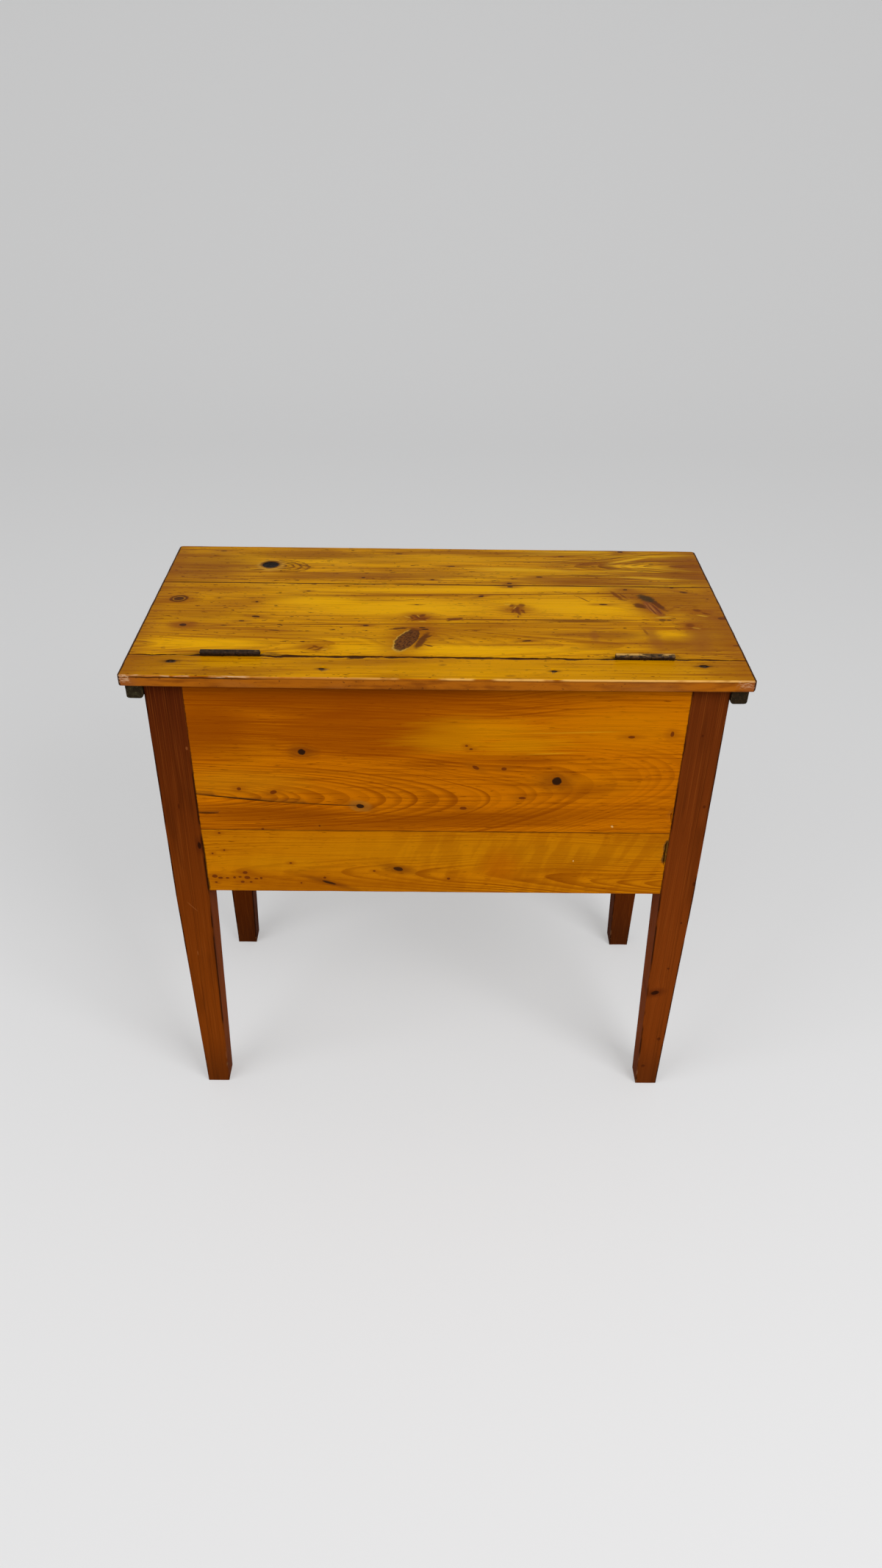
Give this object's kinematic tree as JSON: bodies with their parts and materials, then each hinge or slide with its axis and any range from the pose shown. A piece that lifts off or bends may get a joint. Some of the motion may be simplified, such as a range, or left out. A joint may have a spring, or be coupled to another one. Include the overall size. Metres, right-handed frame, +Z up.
{
  "type": "dough box",
  "caption": "Pine dough box on tapered square legs: a rectangular boarded box with a flat top, whose front board is fixed and whose back boards lift as a hinged lid.",
  "frame": {"origin": "on the floor, under the middle of the top", "axes": "+X to the right along the hinged front, +Y to the back, away from the pictured face, +Z up"},
  "size_m": [0.802, 0.417, 0.7799],
  "materials": {
    "top_pine": "old waxed pine, golden ochre, worn at the edges",
    "panel_pine": "old varnished pine, orange",
    "leg_pine": "red-brown stained pine, satin",
    "inside_pine": "bare scrubbed pine, dry",
    "dark_cleat": "nearly black old timber, dull",
    "dark_plug": "black filled knot, satin",
    "hinge_iron": "dark brown iron with rubbed bright patches",
    "nail_iron": "dark rusted iron",
    "screw_steel": "dulled steel"
  },
  "bodies": {
    "case": {"leg_front_left": "leg_pine", "leg_front_right": "leg_pine", "leg_back_left": "leg_pine", "leg_back_right": "leg_pine", "front_panel_upper": "panel_pine", "front_panel_lower": "panel_pine", "back_panel_upper": "panel_pine", "back_panel_lower": "panel_pine", "left_end_upper": "panel_pine", "left_end_lower": "panel_pine", "right_end_upper": "panel_pine", "right_end_lower": "panel_pine", "floor_ledger_front": "inside_pine", "floor_ledger_back": "inside_pine", "floor_ledger_left": "inside_pine", "floor_ledger_right": "inside_pine", "floor_board_front": "inside_pine", "floor_board_middle": "inside_pine", "floor_board_back": "inside_pine", "ledger_nails": "nail_iron", "floor_nails": "nail_iron", "fixed_rail": "top_pine", "rail_nails": "nail_iron", "rail_cleat_left": "dark_cleat", "rail_cleat_right": "dark_cleat", "rail_cleat_nails": "nail_iron", "hinge_fixed_leaf_left": "hinge_iron", "hinge_fixed_leaf_right": "hinge_iron", "hinge_pin_left": "hinge_iron", "hinge_pin_right": "hinge_iron", "hinge_screws_fixed": "screw_steel"},
    "lid": {"lid_board_wide": "top_pine", "lid_board_back": "top_pine", "knot_plug": "dark_plug", "lid_cleat_left": "dark_cleat", "lid_cleat_right": "dark_cleat", "lid_cleat_screws": "screw_steel", "hinge_moving_leaf_left": "hinge_iron", "hinge_moving_leaf_right": "hinge_iron", "hinge_screws_moving": "screw_steel"}
  },
  "joints": [
    {"name": "lid_hinge", "type": "hinge", "parent": "case", "child": "lid", "pos_m": [0, -0.1535, 0.776], "axis": [1, 0, 0], "range_deg": [0, 180]}
  ]
}
